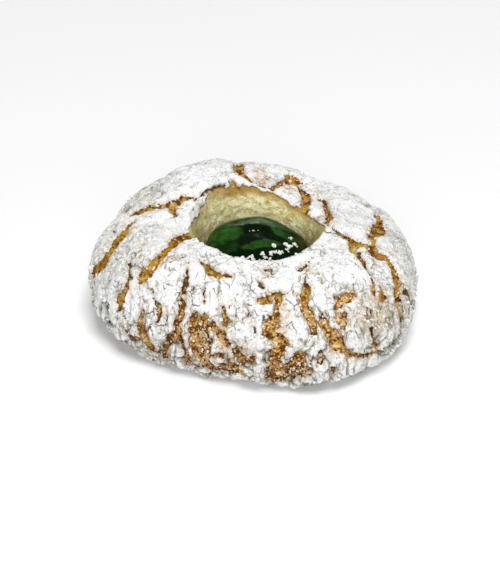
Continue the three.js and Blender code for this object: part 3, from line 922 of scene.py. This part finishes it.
def paste_material(piece):
    paste = Shader("almond paste")
    place = paste.place()
    inside, hollow, turned = paste.field("inside"), paste.field("hollow"), paste.field("turned")
    crumbly, fall, broad = paste.field("crumbly"), paste.field("fall"), paste.field("torn")

    # In the tears: baked, with painted shade at the edges, darker near the foot, crumbly low on the front.
    mottle = paste.noise(place, 1.4, 4, 0.6)
    dark = paste.product(paste.ramp(mottle, 0.42, 0.49, 1, 0), paste.ramp(crumbly, 0, 1, 0.6, 1))
    pale = paste.product(paste.ramp(mottle, 0.55, 0.64), paste.ramp(crumbly, 0, 1, 0.35, 1))
    blotch = paste.patches(place, 1.7, 0.5, 0.57, 0, 0.9, detail=4, roughness=0.65)
    low = paste.product(paste.ramp(fall, 0.62, 0.8), paste.patches(place, 2.6, 0.44, 0.54, 0.1, 0.85))
    # Painted shade under the crust's torn edge.
    edge = paste.ramp(inside, 0, 0.3, 0.9, 0)
    edge = paste.product(edge, paste.patches(place, 2.4, 0.42, 0.56, 0.4, 1))
    dust = paste.product(paste.ramp(inside, 0, 0.7, 0.9, 0.3), paste.ramp(crumbly, 0, 1, 0.3, 1))
    dust = paste.product(dust, paste.patches(place, 0.75, 0.57, 0.67))
    torn = paste.layers(
        paste.mix(paste.patches(place, 3.5, 0.42, 0.58, detail=2), PASTE_OLIVE, PASTE_GOLD),
        (paste.product(crumbly, 0.6), PASTE_CREAM),
        (dark, PASTE_DARK),
        (pale, PASTE_PALE),
        (blotch, PASTE_BLOTCH),
        (low, PASTE_LOW),
        (edge, PASTE_EDGE_SHADE),
        # Painted shade in the narrow tears.
        (paste.ramp(broad, 0, 0.5, 0.85, 0), PASTE_NARROW_SHADE),
        (dust, PASTE_DUST),
    )

    # In the hollow: moist and paler, golden below its back rim, with painted shade towards the sides.
    layered = paste.noise(paste.place((0.8, 0.8, 1.2)), 0.9, 5, 0.75)
    lines = paste.crackle(paste.warped(paste.place((0.75, 0.75, 1.2)), 1.5, 0.6), 1.3, 0.14)
    back = paste.ramp(paste.away_from(turned, 85.0), 25, 75, 1, 0.3)
    depth = paste.math("ADD", inside, paste.math("MULTIPLY", paste.noise(place, 1.6), 2.4))
    moist = paste.layers(
        paste.mix(paste.ramp(layered, 0.4, 0.58), MOIST_DARK, MOIST_PALE),
        (paste.product(lines, paste.patches(place, 1.5, 0.45, 0.6), 0.55), MOIST_LINE),
        (paste.patches(place, 0.35, 0.64, 0.74, 0, 0.3, detail=2), MOIST_SPECK),
        (paste.product(back, paste.ramp(depth, 1.8, 4.0, 0.95, 0)), MOIST_GOLDEN),
        # Painted shade towards the hollow's ends.
        (paste.ramp(paste.away_from(turned, 95.0), 45, 90, 0, 0.6), MOIST_ENDS_SHADE),
    )
    crumb = paste.bump(paste.noise(place, 0.4, 4, 0.7), 0.2)
    paste.finish(piece, Base_Color=paste.mix(hollow, torn, moist), Normal=crumb,
                 Roughness=paste.ramp(hollow, 0, 1, 0.75, 0.55), Specular_IOR_Level=0.3)


def cherry_material(piece):
    fruit = Shader("candied cherry")
    place = fruit.place()
    painted_glow = fruit.field("painted_glow")
    streaks = fruit.ramp(fruit.noise(fruit.warped(place, 3.0, 0.8), 1.8, 3), 0.4, 0.65)
    painted_glow = fruit.math("ADD", painted_glow, fruit.product(painted_glow, streaks, 0.9))
    painted_glow = fruit.math("ADD", painted_glow, fruit.product(streaks, 0.05))
    # Painted glow and sheen over the deep green.
    colour = fruit.mix(painted_glow, FRUIT_DEEP, FRUIT_GLOW)
    colour = fruit.mix(fruit.field("browned"), colour, FRUIT_BROWN)
    skin_bump = fruit.bump(fruit.noise(place, 1.0, 2, 0.5), 0.03)
    fruit.finish(piece, Base_Color=colour, Roughness=0.13, Specular_IOR_Level=0.12, Normal=skin_bump)


def grain_material(piece, name, light, dark, roughness):
    grain = Shader(name)
    place = grain.place()
    colour = grain.mix(grain.ramp(grain.noise(place, 0.6), 0.4, 0.65), dark, light)
    uneven = grain.bump(grain.noise(place, 0.15), 0.03)
    grain.finish(piece, Base_Color=colour, Roughness=roughness, Normal=uneven)


paste_material(paste)
sugar_material(crust)
cherry_material(cherry)
grain_material(sugar_crumbs, "sugar crumbs", linear(246, 236, 222), linear(220, 190, 156), 0.9)
grain_material(sugar_lumps, "sugar lumps", linear(252, 252, 249), linear(238, 237, 232), 0.92)
grain_material(clumps_and_glints, "sugar clumps", linear(252, 252, 250), linear(226, 228, 220), 0.7)
grain_material(paste_crumbs, "paste crumbs", linear(232, 190, 112), linear(96, 52, 6), 0.85)

# -------- what each piece is: the CAD node that it stands in for, and its material slot
PIECES = [
    (paste, "cookie", "almond_paste"),
    (crust, None, "icing_sugar"),
    (cherry, "candied_cherry", "candied_fruit"),
    (sugar_crumbs, None, "icing_sugar"),
    (sugar_lumps, None, "icing_sugar"),
    (clumps_and_glints, None, "icing_sugar"),
    (paste_crumbs, None, "almond_paste"),
]
for piece, node, slot in PIECES:
    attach(piece, "root")
    if node:
        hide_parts(node)

# -------- floor, light and camera
bpy.ops.mesh.primitive_plane_add(size=6)
floor = bpy.context.object
floor.name = "floor"
Shader("floor paint").finish(
    floor, Base_Color=FLOOR_WHITE, Roughness=0.9, Specular_IOR_Level=0.1,
    Emission_Color=(1, 1, 1, 1), Emission_Strength=0.1,
)

HORIZON_GREY, ZENITH_GREY = 0.34, 0.12
world = bpy.data.worlds.new("studio")
world.use_nodes = True
sky = world.node_tree
way = sky.nodes.new("ShaderNodeTexCoord").outputs["Generated"]
parts = sky.nodes.new("ShaderNodeSeparateXYZ")
fade = sky.nodes.new("ShaderNodeMapRange")
sky.links.new(way, parts.inputs[0])
sky.links.new(parts.outputs["Z"], fade.inputs["Value"])
fade.inputs["To Min"].default_value, fade.inputs["To Max"].default_value = HORIZON_GREY, ZENITH_GREY
sky.links.new(fade.outputs["Result"], sky.nodes["Background"].inputs["Strength"])
sky.nodes["Background"].inputs["Color"].default_value = (1, 1, 1, 1)
bpy.context.scene.world = world


def softbox(name, place, target, size, power, glossy=False, diffuse=True):
    light = bpy.data.lights.new(name, "AREA")
    light.shape = "RECTANGLE"
    light.size, light.size_y = size
    light.energy = power
    lamp = bpy.data.objects.new(name, light)
    lamp.location = place
    lamp.rotation_euler = (Vector(target) - Vector(place)).to_track_quat("-Z", "Y").to_euler()
    lamp.visible_glossy, lamp.visible_diffuse = glossy, diffuse
    bpy.context.scene.collection.objects.link(lamp)


softbox("key_light", (0.06, -0.22, 0.72), (0, 0, 0.01), (0.32, 0.32), 4.75)
softbox("front_fill", (-0.05, -0.8, 0.42), (0, 0, 0.01), (0.5, 0.5), 2.1)
softbox("spark", (0.02, 0.5, 0.36), (0, 0, 0.015), (0.03, 0.03), 0.035, glossy=True)
softbox("sheen", (-0.05, 0.65, 0.36), (0, 0, 0.015), (0.64, 0.2), 0.85, glossy=True, diffuse=False)

CAMERA_TARGET = Vector(to_frame + np.array([0, -1.02, 7.68]) * MM)
CAMERA_ELEVATION, CAMERA_DISTANCE, CAMERA_LENS = np.radians(34), 0.38, 138.5
camera_data = bpy.data.cameras.new("camera")
camera_data.lens = CAMERA_LENS
camera = bpy.data.objects.new("camera", camera_data)
back_and_up = Vector((0, -np.cos(CAMERA_ELEVATION), np.sin(CAMERA_ELEVATION)))
camera.location = CAMERA_TARGET + CAMERA_DISTANCE * back_and_up
camera.rotation_euler = (CAMERA_TARGET - camera.location).to_track_quat("-Z", "Y").to_euler()
bpy.context.scene.collection.objects.link(camera)
bpy.context.scene.camera = camera
bpy.context.scene.view_settings.view_transform = "Standard"

bpy.context.view_layer.update()
